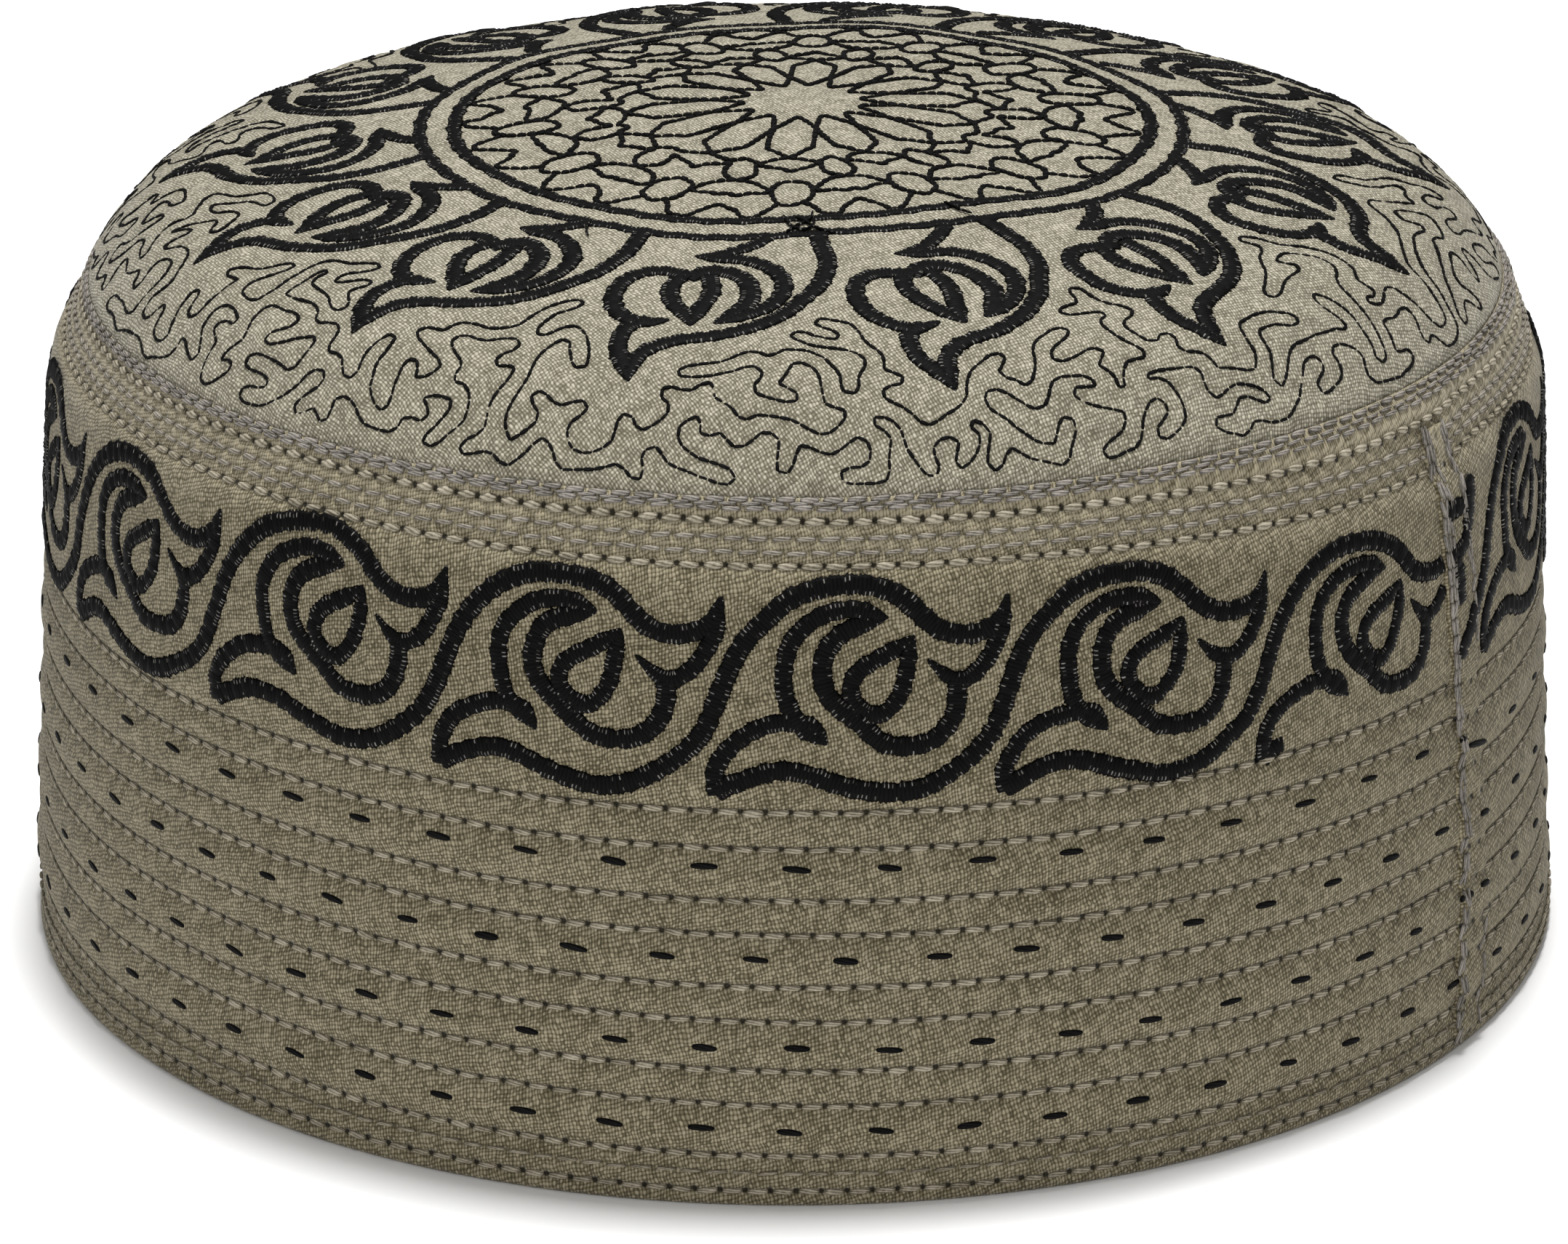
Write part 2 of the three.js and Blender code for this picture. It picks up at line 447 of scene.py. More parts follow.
def ring_shell(stations, sides, closed):
    """Points, faces and corner places of a shell turned round the Z axis.

    stations are (reach, lift, outside) round the section, which closes on itself or has
    two ends."""
    bearings = np.arange(sides) * 2 * math.pi / sides - math.pi
    reach, lift, outside = np.array(stations, float).T
    grid_b, grid_r = np.meshgrid(bearings, reach, indexing="ij")
    points, normals = on_cap(grid_b, grid_r, lift, with_relief=False)
    points = points + normals * (relief(grid_b, grid_r) * outside)[..., None]
    points[..., 2] = np.maximum(points[..., 2], 0)
    i, faces = grid_faces(sides, len(stations), True, closed)
    corner_turn = np.stack([i, i + 1, i + 1, i], -1).reshape(-1, 4) / sides
    return points.reshape(-1, 3), faces, corner_turn, reach[faces % len(stations)]


def quarter_round(radius, shares):
    """Rise and depth of steps round a corner. shares are the rises, and backwards the depths."""
    return [(radius * rise, radius * depth) for rise, depth in zip(shares, shares[::-1])]


def side_stations():
    """Round the section of the side: up the outside, over the top edge and down inside."""
    wall = 2.6 * mm
    halfway = 1 - math.sqrt(0.5)
    outer_round = quarter_round(1.5 * mm, (0.0, 0.076, halfway, 0.617, 1.0))
    inner_round = quarter_round(0.6 * mm, (0.0, halfway, 1.0))
    outside = set(np.round(np.arange(1.2, seam_reach / mm - 0.4, 1.0), 3))
    for height, _, _ in stitch_rows:
        reach = float(reach_of_height(height * mm)) / mm
        outside = {r for r in outside if abs(r - reach) > 0.75}
        outside |= {round(reach + shift, 3) for shift in (-0.9, -0.4, 0.0, 0.4, 0.9)}
    outside = sorted(r for r in outside if 1.6 < r < seam_reach / mm - 0.3)
    stations = [(rise, -depth, 1) for rise, depth in outer_round]
    stations += [(r * mm, 0.0, 1) for r in outside]
    stations += [(seam_reach, 0.0, 1), (seam_reach, -1.2 * mm, 0), (seam_reach, -wall, 0)]
    stations += [(r * mm, -wall, 0) for r in np.arange(seam_reach / mm - 3, 2, -4.0)]
    stations += [(rise, depth - wall, 0) for rise, depth in reversed(inner_round)]
    return stations


middle_radius_mm = 91.0
cloth_round_mm = 2 * math.pi * middle_radius_mm
whole_mm = whole_reach / mm


def side_places(turn_share, reach):
    """Place on the side's cloth, where a row of stitches lies level."""
    height = np.interp(reach, section_reach, section[:, 1])
    level = height - dip_at(turn_share * 2 * math.pi - math.pi, height)
    return np.stack([turn_share, level / whole_reach], -1)


side_points, side_faces, side_turn, side_reach = ring_shell(side_stations(), 480, closed=True)
# The side is the same cotton as the crown in darker, warmer colours: partly the cloth's own tone, partly
# painted shade for the warm bounce light and deeper shade the side gets.
side_cloth = cloth_finish(
    "khaki_quilted_cotton", cloth_round_mm, whole_mm,
    (0.057, 0.048, 0.027), (0.154, 0.131, 0.08), (0.35, 0.307, 0.212), turn=0.0, rows=stitch_rows,
)
side = mesh_object("quilted_side", side_points, side_faces, side_cloth, side_places(side_turn, side_reach))
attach(side, "root")
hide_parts("side_band")

# Lap. The end of the strip is turned under and sewn down over the joint at the right
# front, so it stands a cloth's thickness proud from the rim to just under the crown.
chart_radius = 89.3
lap_foot = 1.5 * mm
lap_top = band_height - 4 * mm
lap_thickness = 0.5 * mm
lap_course = [
    # height, middle along the side and width, in millimetres
    (0.5, 89.3, 5.5), (5, 89.9, 5.6), (12, 91.0, 6.2), (20, 91.7, 7.1), (30, 91.9, 7.0), (38, 91.5, 6.6),
    (45, 90.7, 6.4), (52, 89.4, 6.3), (58, 88.4, 6.0), (65, 87.5, 5.6), (76.5, 86.9, 5.5),
]


def lap_course_at(height):
    """Middle of the lap along the side and half its width, in millimetres."""
    heights, middles, widths = np.array(lap_course).T
    height = np.asarray(height) / mm
    return np.interp(height, heights, middles), 0.5 * np.interp(height, heights, widths)


def lap_piece():
    """The lap as a flat strip with rounded edges that follows the side."""
    half_section = [(0.0, 1.0), (0.4, 1.0), (0.75, 0.95), (0.9, 0.75), (0.97, 0.4), (1.0, 0.0), (0.95, -1.0)]
    across, rise = np.array([(-a, r) for a, r in half_section[:0:-1]] + half_section).T
    heights = np.arange(lap_foot, lap_top, 0.8 * mm)
    height, share = np.meshgrid(heights, across, indexing="ij")
    middle, half = lap_course_at(height)
    bearing = (middle + share * half) / chart_radius
    points, _ = on_cap(bearing, reach_of_height(height), rise * lap_thickness)
    count = len(across)
    _, faces = grid_faces(len(heights), count, False, True)
    faces = np.roll(faces[:, ::-1], 1, axis=1)
    ends = [list(range(count))[::-1], list(range((len(heights) - 1) * count, len(heights) * count))]
    places = side_places(bearing / (2 * math.pi) + 0.5, reach_of_height(height)).reshape(-1, 2)
    faces = faces.tolist() + ends
    return points.reshape(-1, 3), faces, [places[k] for face in faces for k in face]


lap_points, lap_faces, lap_places = lap_piece()
lap = mesh_object("lap_cloth", lap_points, lap_faces, side_cloth, lap_places)
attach(lap, "root")
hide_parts("lap_strip")


# Quilting stitches. Soft plied cotton, each stitch a short plump grain between two
# needle holes. One stitch body is set at every place by a Geometry Nodes tree.
def stitch_tree(name):
    """A tree that sets one stitch on each point by its along, out and size attributes."""
    tree = bpy.data.node_groups.new(name, "GeometryNodeTree")
    inputs = [
        ("Places", "NodeSocketGeometry"), ("Sides", "NodeSocketInt"), ("Rings", "NodeSocketInt"),
        ("Pinch", "NodeSocketFloat"), ("Thread", "NodeSocketMaterial"),
    ]
    for label, kind in inputs:
        tree.interface.new_socket(label, in_out="INPUT", socket_type=kind)
    tree.interface.new_socket("Stitches", in_out="OUTPUT", socket_type="NodeSocketGeometry")

    def add(kind, settings, sockets):
        made = tree.nodes.new(kind)
        for key, value in settings.items():
            setattr(made, key, value)
        for key, value in sockets.items():
            if isinstance(value, bpy.types.NodeSocket):
                tree.links.new(value, made.inputs[key])
            else:
                made.inputs[key].default_value = value
        return made.outputs

    def vectors(operation, first, second, output=0):
        return add("ShaderNodeVectorMath", {"operation": operation}, {0: first, 1: second})[output]

    given = add("NodeGroupInput", {}, {})
    shape = {"Segments": given["Sides"], "Rings": given["Rings"], "Radius": 1.0}
    ball = add("GeometryNodeMeshUVSphere", {}, shape)
    turned = add("GeometryNodeTransform", {}, {"Geometry": ball["Mesh"], "Rotation": (0, math.pi / 2, 0)})
    where = add("GeometryNodeInputPosition", {}, {})["Position"]
    store = {"data_type": "FLOAT_VECTOR", "domain": "POINT"}
    marked = {0: turned["Geometry"], "Name": "on_thread", "Value": where}
    kept = add("GeometryNodeStoreNamedAttribute", store, marked)
    round_part = vectors("MULTIPLY", where, (0, 1, 1))
    girth = vectors("LENGTH", round_part, (0, 0, 0), "Value")
    safe = add("ShaderNodeMath", {"operation": "MAXIMUM"}, {0: girth, 1: 0.001})[0]
    power = add("ShaderNodeMath", {"operation": "POWER"}, {0: safe, 1: given["Pinch"]})[0]
    grown = add("ShaderNodeVectorMath", {"operation": "SCALE"}, {0: round_part, "Scale": power})[0]
    body_place = vectors("ADD", grown, vectors("MULTIPLY", where, (1, 0, 0)))
    body = add("GeometryNodeSetPosition", {}, {"Geometry": kept["Geometry"], "Position": body_place})
    named = {"data_type": "FLOAT_VECTOR"}
    along = add("GeometryNodeInputNamedAttribute", named, {"Name": "along"})
    out = add("GeometryNodeInputNamedAttribute", named, {"Name": "out"})
    size = add("GeometryNodeInputNamedAttribute", named, {"Name": "size"})
    facing = add(
        "FunctionNodeAxesToRotation", {"primary_axis": "X", "secondary_axis": "Z"},
        {"Primary Axis": along["Attribute"], "Secondary Axis": out["Attribute"]},
    )
    placed = add(
        "GeometryNodeInstanceOnPoints", {},
        {
            "Points": given["Places"], "Instance": body["Geometry"],
            "Rotation": facing["Rotation"], "Scale": size["Attribute"],
        },
    )
    real = add("GeometryNodeRealizeInstances", {}, {"Geometry": placed["Instances"]})
    smooth = add("GeometryNodeSetShadeSmooth", {}, {"Geometry": real["Geometry"]})
    threaded = {"Geometry": smooth["Geometry"], "Material": given["Thread"]}
    finished = add("GeometryNodeSetMaterial", {}, threaded)
    add("NodeGroupOutput", {}, {"Stitches": finished["Geometry"]})
    return tree


stitching = stitch_tree("set_stitches")


def sewn(name, stitches, material, sides=6, rings=5, pinch=-0.45):
    """Sews groups of stitches into one plain mesh object.

    Each group is places, directions along, directions out and sizes."""
    places, along, out, size = [np.concatenate(part) for part in zip(*stitches)]
    mesh = bpy.data.meshes.new(name + "_places")
    mesh.from_pydata(places.tolist(), [], [])
    for key, values in (("along", along), ("out", out), ("size", size)):
        layer = mesh.attributes.new(key, "FLOAT_VECTOR", "POINT")
        layer.data.foreach_set("vector", np.asarray(values, np.float32).ravel())
    carrier = bpy.data.objects.new(name + "_places", mesh)
    bpy.context.scene.collection.objects.link(carrier)
    modifier = carrier.modifiers.new("sewing", "NODES")
    modifier.node_group = stitching
    given = {"Sides": sides, "Rings": rings, "Pinch": pinch, "Thread": material}
    for item in stitching.interface.items_tree:
        if item.in_out == "INPUT" and item.name in given:
            modifier[item.identifier] = given[item.name]
    evaluated = carrier.evaluated_get(bpy.context.evaluated_depsgraph_get())
    plain = bpy.data.meshes.new_from_object(evaluated)
    plain.name = name
    carrier.modifiers.remove(modifier)
    bpy.data.objects.remove(carrier)
    bpy.data.meshes.remove(mesh)
    made = bpy.data.objects.new(name, plain)
    bpy.context.scene.collection.objects.link(made)
    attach(made, "root")


def thread_finish(name, dark, light, roughness, gloss):
    """Plied thread, with strands that wind slowly along each stitch; painted light on the strands, painted
    shade between them and at the stitch ends.
    """
    finish = Finish(name, roughness=roughness, gloss=gloss)
    place = finish.node("ShaderNodeAttribute", {"attribute_name": "on_thread"}, {}, output=1)
    length, side_way, top_way = finish.parts(place)
    strand = side_way.maths("ARCTAN2", top_way) * 2.6 + length * 2.2
    between = abs(strand.sine())
    grain = finish.node("ShaderNodeTexCoord", {}, {}, output=3)
    fibre = finish.noise(grain, 3000.0)
    patch = finish.noise(grain, 380.0)
    # Painted light and shade: each strand is painted lighter along its middle and darker towards the grooves
    # between strands, and each stitch is painted darker towards its ends, where it dives into the cloth.
    ends = abs(length).step(0.55, 1.0)
    tone = 0.1 + between * 0.62 + (fibre - 0.5) * 0.8 + (patch - 0.5) * 0.9 - ends * 0.35
    finish.feed("Base Color", finish.ramp(tone, [(0.05, dark), (0.95, light)]))
    finish.bump(between + fibre * 0.4, 0.7, 0.1 * mm)
    return finish.material


thread_looks = [
    # kind, name, dark and light colour, roughness, gloss
    ("pale", "pale_cotton_thread", (0.1, 0.086, 0.056), (0.43, 0.385, 0.297), 0.75, 0.15),
    ("cream", "cream_cotton_thread", (0.11, 0.095, 0.062), (0.44, 0.395, 0.308), 0.7, 0.15),
    ("dull", "dull_cotton_thread", (0.09, 0.08, 0.064), (0.38, 0.345, 0.29), 0.8, 0.1),
    ("grey", "grey_seam_thread", (0.085, 0.077, 0.064), (0.36, 0.33, 0.295), 0.8, 0.1),
    ("black", "black_cotton_thread", (0.001, 0.001, 0.001), (0.0075, 0.0068, 0.0065), 0.65, 0.06),
]
threads = {kind: thread_finish(*look) for kind, *look in thread_looks}
chance = np.random.default_rng(7)


stitch_share = 0.435  # half a stitch's length as a share of the way between two needle holes
stitch_thickness = 0.27 * mm


def level_row(number, height, width, lift=0.14):
    """One level row of quilting stitches. Height, width and lift are in millimetres."""
    turns = (np.arange(stitches_round) + 0.5 + row_phase(number)) / stitches_round
    bearing = turns * 2 * math.pi - math.pi
    level = height * mm + chance.normal(0, 0.04 * mm, stitches_round)
    level = level + dip_at(bearing, level)
    places, out = on_cap(bearing, reach_of_height(level), lift * mm)
    pitch = 2 * math.pi * np.hypot(places[:, 0], places[:, 1]).mean() / stitches_round
    along = np.stack([np.cos(bearing), np.sin(bearing), chance.normal(0.06, 0.05, stitches_round)], -1)
    width = width * mm * chance.normal(1, 0.08, stitches_round)
    long = stitch_share * pitch * chance.normal(1, 0.03, stitches_round)
    size = np.stack([long, width / 2, np.full(stitches_round, stitch_thickness)], -1)
    return places, along, out, size


for kind in ("pale", "cream", "dull"):
    rows = [
        level_row(number, height, width)
        for number, (height, width, thread) in enumerate(stitch_rows) if thread == kind
    ]
    sewn(f"{kind}_quilting", rows, threads[kind])

# Seam stitches. Three lines of fuzzy grey cotton thread lie in the crease between side
# and crown, where the two were sewn together.
seam_rows = [level_row(31, 79.5, 0.6, 0.1), level_row(37, 80.3, 0.7, 0.22), level_row(41, 79.9, 0.45, 0.12)]
sewn("seam_stitches", seam_rows, threads["grey"], pinch=-0.7)


# Lap stitches. Upright rows of fuzzy grey thread hold both edges of the lap, doubled on
# the left where the machine went back over them.
def upright_row(side_of, inset, low, high, half_width):
    """Stitches inset millimetres from the left (-1) or right (1) edge, between two heights."""
    step = 2.1 * mm
    heights = np.arange(low * mm, high * mm, step)

    def on_lap(height):
        middle, half = lap_course_at(height)
        wander = 0.22 * np.sin(height / (5 * mm) + 9 * inset)
        bearing = (middle + side_of * (half - inset) + wander) / chart_radius
        return on_cap(bearing, reach_of_height(height), lap_thickness + 0.08 * mm)

    places, out = on_lap(heights)
    after, _ = on_lap(heights + step)
    along = after - places + chance.normal(0, 0.22 * mm, places.shape)
    wide = chance.normal(half_width, 0.05, len(heights)) * mm
    size = np.stack([np.full_like(wide, 0.56 * step), wide, np.full_like(wide, 0.2 * mm)], -1)
    return places, along, out, size


lap_rows = [
    # edge, inset, lowest and highest stitch and half the thread's width, in millimetres
    (-1, 0.35, 2, 76, 0.3), (-1, 1.05, 2, 76, 0.26), (-1, 1.6, 56, 76, 0.24),
    (1, 0.3, 50, 76, 0.28), (1, 0.9, 60, 76, 0.24), (1, 0.35, 3, 14, 0.2),
]
upright_stitches = [upright_row(*row) for row in lap_rows]
sewn("lap_stitches", upright_stitches, threads["grey"], pinch=-0.7)

# Black dashes. Four rows of single black stitches down the side, spaced by hand. The rows
# start afresh beyond the lap, and a few odd stitches lie on the lap itself.
dash_length = 2.95
dash_width = 0.8
dash_rows = [
    # height, first dash along the side, dashes round, shift and rise beyond the lap, in millimetres
    (39.7, 0.3, 56, 4.2, -1.4), (29.2, -4.4, 57, 1.0, 0), (18.9, 0.2, 57, -4.3, 1.2),
    (9.25, -0.7, 58, 1.6, 0.3),
]
lap_dashes = [
    # place along the side, height, length and drop to the right in millimetres
    (88.6, 38.3, 1.6, 0.1), (92.1, 36.6, 5.0, 0.22), (93.6, 27.6, 2.3, 0.1), (87.8, 19.0, 1.0, 0.1),
    (89.9, 18.8, 1.3, 0.2), (93.8, 18.7, 2.3, 0.1),
]


def dash_row(height, first, count, shift, rise):
    """One row of dashes round the side, left out where the lap covers it."""
    place = first / chart_radius + np.arange(count) * 2 * math.pi / count
    bearing = place + chance.normal(0, 0.0015, count)
    level = height * mm + chance.normal(0, 0.1 * mm, count)
    long = 0.5 * mm * chance.normal(dash_length, 0.15, count)
    wide = 0.5 * mm * chance.normal(dash_width, 0.05, count)
    tilt = chance.normal(-0.06, 0.05, count)
    beyond = smooth_step(place, 1.0, 1.02) * (1 - smooth_step(place, 1.5, 3.0))
    bearing = bearing + beyond * shift / chart_radius
    level = level + beyond * rise * mm
    middle, half = lap_course_at(level)
    clear = np.abs(bearing * chart_radius - middle) > half + 1.2
    bearing, level, long, wide, tilt = [part[clear] for part in (bearing, level, long, wide, tilt)]
    level = level + dip_at(bearing, level)
    places, out = on_cap(bearing, reach_of_height(level), -0.03 * mm)
    along = np.stack([np.cos(bearing), np.sin(bearing), tilt], -1)
    return places, along, out, np.stack([long, wide, np.full(len(long), 0.2 * mm)], -1)


def lap_dash(place, height, length, drop):
    """One of the odd dashes on the lap."""
    bearing = place / chart_radius
    places, out = on_cap(bearing, reach_of_height(height * mm), lap_thickness)
    along = np.array([math.cos(bearing), math.sin(bearing), -drop])
    size = np.array([0.5 * length, 0.42, 0.25]) * mm
    return places[None], along[None], out[None], size[None]


dashes = [dash_row(*row) for row in dash_rows] + [lap_dash(*dash) for dash in lap_dashes]
sewn("black_dashes", dashes, threads["black"], sides=8, rings=7, pinch=-0.35)

# Satin stitch. Close black threads laid across each stroke over a padding, so a stroke is
# a raised ribbon with one ridge for every thread and a lightly ragged edge.
satin_thread = 0.45 * mm
satin_lift = 0.34 * mm


def soft_curve(points, step, softness=0.0):
    """Even steps along a smooth curve through the given points, in their own unit.

    softness is the length over which small bends are evened out."""
    points = np.asarray(points, float)
    padded = np.vstack([2 * points[0] - points[1], points, 2 * points[-1] - points[-2]])
    share = np.linspace(0, 1, 12, endpoint=False)[:, None]
    pieces = []
    for a, b, c, d in zip(padded, padded[1:], padded[2:], padded[3:]):
        bend = (2 * a - 5 * b + 4 * c - d) * share ** 2 + (3 * b - a - 3 * c + d) * share ** 3
        pieces.append(0.5 * (2 * b + (c - a) * share + bend))
    dense = np.vstack([*pieces, points[-1:]])
    reach = np.concatenate([[0], np.cumsum(np.linalg.norm(np.diff(dense, axis=0), axis=1))])
    count = max(5, int(round(reach[-1] / step)) + 1)
    even = np.linspace(0, reach[-1], count)
    line = np.stack([np.interp(even, reach, dense[:, i]) for i in range(points.shape[1])], 1)
    for _ in range(int((softness / step) ** 2 / 2)):
        line[1:-1] = 0.25 * line[:-2] + 0.5 * line[1:-1] + 0.25 * line[2:]
    return line


class SatinWork:
    """Gathers the ribbons of one embroidered piece and makes them one mesh."""

    numbers_apart = 50  # between the first threads of one ribbon and of the next
    blunt = 0.15  # width that is left at the end of a tip, as a share of the full width
    # across and up, as shares of half the width and of the rise
    section = [(-1.0, -0.3), (-0.72, 0.72), (0.0, 1.0), (0.72, 0.72), (1.0, -0.3)]

    def __init__(self):
        self.points, self.faces, self.places = [], [], []
        self.count = 0

    def ribbon(
        self, bearing, reach, half_width, start_tip=0.0, end_tip=0.0, lift=1.0, closed=False, under=0.0,
    ):
        """Adds a ribbon along a line on the cap. A tip is the length that it narrows over.

        under is the thickness of cloth between the cap and the ribbon."""
        middle, normal = on_cap(bearing, reach, under)
        if closed:
            along = np.roll(middle, -1, 0) - np.roll(middle, 1, 0)
        else:
            along = np.gradient(middle, axis=0)
        along /= np.linalg.norm(along, axis=1)[:, None]
        across = np.cross(normal, along)
        count = len(middle)
        gone = np.concatenate([[0], np.cumsum(np.linalg.norm(np.diff(middle, axis=0), axis=1))])
        wide = np.ones(count)
        for tip, from_end in ((start_tip, gone), (end_tip, gone[-1] - gone)):
            if tip:
                share = np.clip(from_end / tip, 0, 1) ** 0.8
                wide = np.minimum(wide, self.blunt + (1 - self.blunt) * share)
        on_thread = np.arange(count) % 2 == 1
        rag = np.where(on_thread, chance.normal(1.03, 0.065, count), 0.9)
        # the threads bunch up, about four to each low swelling of the stroke
        half_threads = np.arange(count) * math.pi
        bunch = np.abs(np.sin(half_threads / 8 + 0.9 * np.sin(half_threads / 60)))
        rag = rag * (0.91 + 0.13 * bunch)
        rise = satin_lift * lift * (0.4 + 0.6 * wide) * np.where(on_thread, 1.0, 0.72)
        rise = rise * (0.65 + 0.45 * bunch)
        skew = chance.normal(0, 0.05 * mm, count)
        ring = []
        for side, height in self.section:
            point = middle + across * (half_width * wide * rag * side)[:, None]
            ring.append(point + normal * (rise * height)[:, None] + along * (skew * side)[:, None])
        ring = np.stack(ring, 1)
        size = len(self.section)
        i, faces = grid_faces(count, size, closed, True)
        first_number = self.numbers_apart * len(self.points)
        thread_number = 0.5 * np.stack([i, i + 1, i + 1, i], -1).reshape(-1, 4) + first_number
        side_share = np.array([0.5 + 0.5 * side for side, _ in self.section])
        self.points.append(ring.reshape(-1, 3))
        self.faces += (faces + self.count).tolist()
        self.places.append(np.stack([thread_number, side_share[faces % size]], -1).reshape(-1, 2))
        if not closed:
            for end, order in ((0, 1), (count - 1, -1)):
                self.faces.append([self.count + end * size + k for k in range(size)][::order])
                self.places.append(np.tile([first_number + end, 0.5], (size, 1)))
        self.count += count * size

    def piece(self, name):
        made = mesh_object(name, np.vstack(self.points), self.faces, satin_black, np.vstack(self.places))
        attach(made, "root")


def satin_finish():
    """Black threads side by side with painted shade in the gaps, and pale ticks near both edges: painted
    glints of light and pale fluff.
    """
    finish = Finish("black_satin_stitch", roughness=0.6, gloss=0.06)
    place = finish.node("ShaderNodeUVMap", {"uv_map": "cloth"}, {})
    thread, across, _ = finish.parts(place)
    number = thread.maths("FLOOR")
    from_gap = abs(thread - number - 0.5)
    side_of = across.maths("GREATER_THAN", 0.5)
    seat = finish.vector((thread + 0.5).maths("FLOOR"), side_of)
    luck = finish.node("ShaderNodeTexWhiteNoise", {"noise_dimensions": "2D"}, {"Vector": seat})
    other = finish.node("ShaderNodeTexWhiteNoise", {"noise_dimensions": "2D"}, {"Vector": seat}, output=1)
    shift, fade, _ = finish.parts(other)
    off = abs(abs(across - 0.5) - 0.2 - shift * 0.16)
    # Painted highlights: pale ticks in the thread gaps near both edges stand in for glints of light on the
    # threads, and also for pale fluff caught there.
    lint_and_glint = luck.step(0.45, 0.7) * off.step(0.13, 0.05) * from_gap.step(0.3, 0.44) * (0.25 + fade * 0.75)
    fibre = finish.noise(finish.vector(thread * 9.0, across * 3.0), 1.0)
    # Painted shade: each thread is painted darker towards the gaps beside it.
    tone = (0.5 - from_gap) * 1.2 + (fibre - 0.5) * 0.8
    colour = finish.ramp(tone, [(0.1, (0.0008, 0.0008, 0.0008)), (0.9, (0.006, 0.0055, 0.0052))])
    finish.feed("Base Color", finish.blend(lint_and_glint, colour, (0.27, 0.26, 0.24, 1)))
    finish.bump(fibre, 0.5, 0.08 * mm)
    return finish.material


satin_black = satin_finish()

# Scroll round the side. One motif is a stem that swings over into a flick, a hooked leaf
# curled inside it round a drop, and a long low leaf. Places are millimetres along the side
# from the top of the stem's swing, and heights above the rim.
motif_pitch = 31.8
scroll_strokes = [
    # half width, start tip, end tip, points
    (1.28, 0, 4.5, [
        (-46.6, 48.4), (-44.3, 49.5), (-41.8, 50.6), (-39.3, 51.0), (-36.8, 50.5), (-34.3, 49.6),
        (-31.3, 48.8), (-27.8, 48.3), (-24.3, 48.8), (-21.8, 50.0), (-19.3, 51.7), (-17.3, 53.6),
        (-16.0, 55.6), (-15.0, 58.0), (-14.1, 60.5), (-13.0, 63.2), (-11.5, 65.8), (-9.5, 68.0),
        (-7.0, 70.0), (-4.0, 71.2), (-1.0, 71.6), (2.0, 71.5), (4.5, 70.75), (6.5, 69.5), (8.0, 68.0),
        (9.5, 66.75), (11.5, 66.1), (14.0, 66.2), (15.75, 67.0), (16.8, 68.5), (17.4, 70.3),
    ]),
    (1.15, 3.5, 4.0, [
        (17.4, 70.3), (16.7, 66.5), (15.5, 63.9), (14.3, 62.2), (12.6, 61.0), (11.2, 61.0), (9.9, 61.9),
        (8.3, 63.4),
    ]),
    (1.28, 0, 3.0, [
        (11.6, 61.2), (11.5, 59.0), (11.2, 57.0), (10.2, 55.4), (8.7, 54.2), (6.5, 53.7), (4.0, 53.8),
        (2.4, 54.6), (0.9, 56.1), (-1.0, 57.5), (-2.7, 59.3), (-3.5, 61.5), (-3.3, 63.6), (-2.5, 65.3),
        (-1.0, 66.5), (1.0, 67.3), (3.7, 67.9),
    ]),
    (1.15, 2.5, 2.5, [
        (3.9, 67.9), (1.5, 68.8), (-1.0, 68.95), (-3.4, 68.3), (-5.4, 67.0), (-6.9, 65.1), (-7.5, 63.0),
        (-7.5, 61.0), (-7.2, 59.0), (-6.5, 57.0), (-5.1, 55.5), (-2.9, 53.9),
    ]),
    (1.15, 2.5, 0, [
        (6.6, 66.1), (4.2, 64.3), (2.1, 63.2), (0.4, 62.0), (-0.3, 60.4), (0.1, 58.7), (1.6, 57.5),
        (3.0, 57.2),
    ]),
    (1.1, 2.5, 0, [(6.6, 66.1), (6.1, 63.0), (5.6, 60.7), (4.7, 58.8), (3.0, 57.2), (1.6, 57.0)]),
    (1.2, 0, 2.5, [
        (-14.7, 47.9), (-15.0, 50.2), (-14.3, 52.2), (-12.8, 54.0), (-10.5, 55.5), (-8.0, 56.3),
        (-5.5, 56.3), (-4.0, 55.6), (-2.9, 53.9),
    ]),
    (1.2, 1.2, 0, [(-14.2, 47.3), (-14.2, 48.4), (-13.6, 49.2), (-12.5, 49.6)]),
]
turn_mm = 2 * math.pi * chart_radius
# evenly from the lap round the back, then listed one by one across the front
swing_tops = [108.6 + 33.1 * k for k in range(10)]
swing_tops += [turn_mm + place for place in (-121.2, -90.0, -56.0, -25.5, 6.3, 37.5, 70.0)]
swing_rises = [-0.5] + [0.0] * 11 + [0.9, 0.2, 0.0, -0.9, -3.5]


def scroll_place(number, points):
    """Place along the side and height of a motif's points, stretched to its neighbours.

    The first motif is squeezed by the lap, and the last sinks towards it."""
    ideal = np.arange(len(swing_tops)) * motif_pitch
    wanted = number * motif_pitch + points[:, 0]
    knots = [-60, -15, *ideal, ideal[-1] + 60]
    places = [swing_tops[0] - 58, swing_tops[0] - 13, *swing_tops, swing_tops[-1] + 60]
    rise = np.interp(wanted, [*ideal, ideal[-1] + 14], [*swing_rises, swing_rises[-1] - 1.7])
    return np.interp(wanted, knots, places), points[:, 1] + rise


